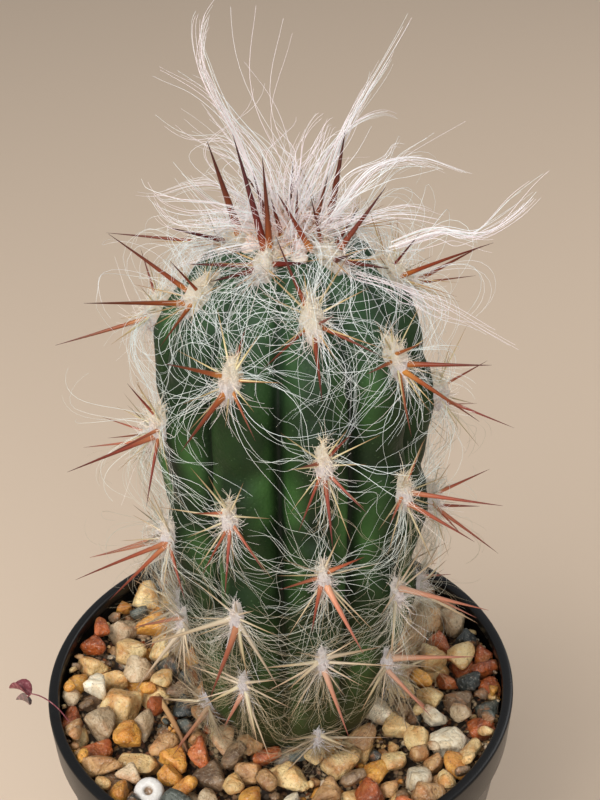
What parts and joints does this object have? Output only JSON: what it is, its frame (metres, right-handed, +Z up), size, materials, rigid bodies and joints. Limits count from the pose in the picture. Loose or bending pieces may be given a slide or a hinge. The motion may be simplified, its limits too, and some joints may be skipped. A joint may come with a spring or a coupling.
{
  "type": "potted cactus",
  "caption": "Young columnar old man cactus with ribs, red-brown spines and long white hair, planted in a round black nursery pot dressed with mixed pebbles.",
  "frame": {"origin": "centre of the pot's flat underside, on the surface it stands on", "axes": "+Z up along the pot and stem; the side shown in the reference view faces -Y, with +X to its right"},
  "size_m": [0.0946, 0.0848, 0.1986],
  "materials": {
    "pot_plastic": "satin",
    "soil": "matte",
    "gravel": "satin",
    "cream_stone": "satin",
    "pale_stone": "satin",
    "ochre_stone": "satin",
    "white_stone": "satin",
    "stem_skin": "satin",
    "wool": "matte",
    "spine": "satin",
    "hair": "matte",
    "dry_spine": "matte",
    "dry_leaf": "matte"
  },
  "bodies": {
    "root": {"pot": "pot_plastic", "potting_soil": "soil", "gravel_bed": "gravel", "pebble_cream": "cream_stone", "pebble_pale": "pale_stone", "pebble_ochre": "ochre_stone", "pebble_white": "white_stone", "stem": "stem_skin", "crown_wool": "wool", "fallen_spine": "dry_spine", "dried_seedling": "dry_leaf", "areole_rib_01_1": "spine", "areole_rib_01_2": "spine", "areole_rib_01_3": "spine", "areole_rib_01_4": "spine", "areole_rib_02_1": "spine", "areole_rib_02_2": "spine", "areole_rib_02_3": "spine", "areole_rib_02_4": "spine", "areole_rib_02_5": "spine", "areole_rib_03_1": "spine", "areole_rib_03_2": "spine", "areole_rib_03_3": "spine", "areole_rib_03_4": "spine", "areole_rib_04_1": "spine", "areole_rib_04_2": "spine", "areole_rib_04_3": "spine", "areole_rib_04_4": "spine", "areole_rib_04_5": "spine", "areole_rib_05_1": "spine", "areole_rib_05_2": "spine", "areole_rib_05_3": "spine", "areole_rib_05_4": "spine", "areole_rib_06_1": "spine", "areole_rib_06_2": "spine", "areole_rib_06_3": "spine", "areole_rib_06_4": "spine", "areole_rib_06_5": "spine", "areole_rib_07_1": "spine", "areole_rib_07_2": "spine", "areole_rib_07_3": "spine", "areole_rib_07_4": "spine", "areole_rib_08_1": "spine", "areole_rib_08_2": "spine", "areole_rib_08_3": "spine", "areole_rib_08_4": "spine", "areole_rib_08_5": "spine", "areole_rib_09_1": "spine", "areole_rib_09_2": "spine", "areole_rib_09_3": "spine", "areole_rib_09_4": "spine", "areole_rib_10_1": "spine", "areole_rib_10_2": "spine", "areole_rib_10_3": "spine", "areole_rib_10_4": "spine", "areole_rib_10_5": "spine", "hair_tuft_1": "hair", "hair_tuft_2": "hair", "hair_tuft_3": "hair", "hair_tuft_4": "hair"}
  },
  "joints": []
}
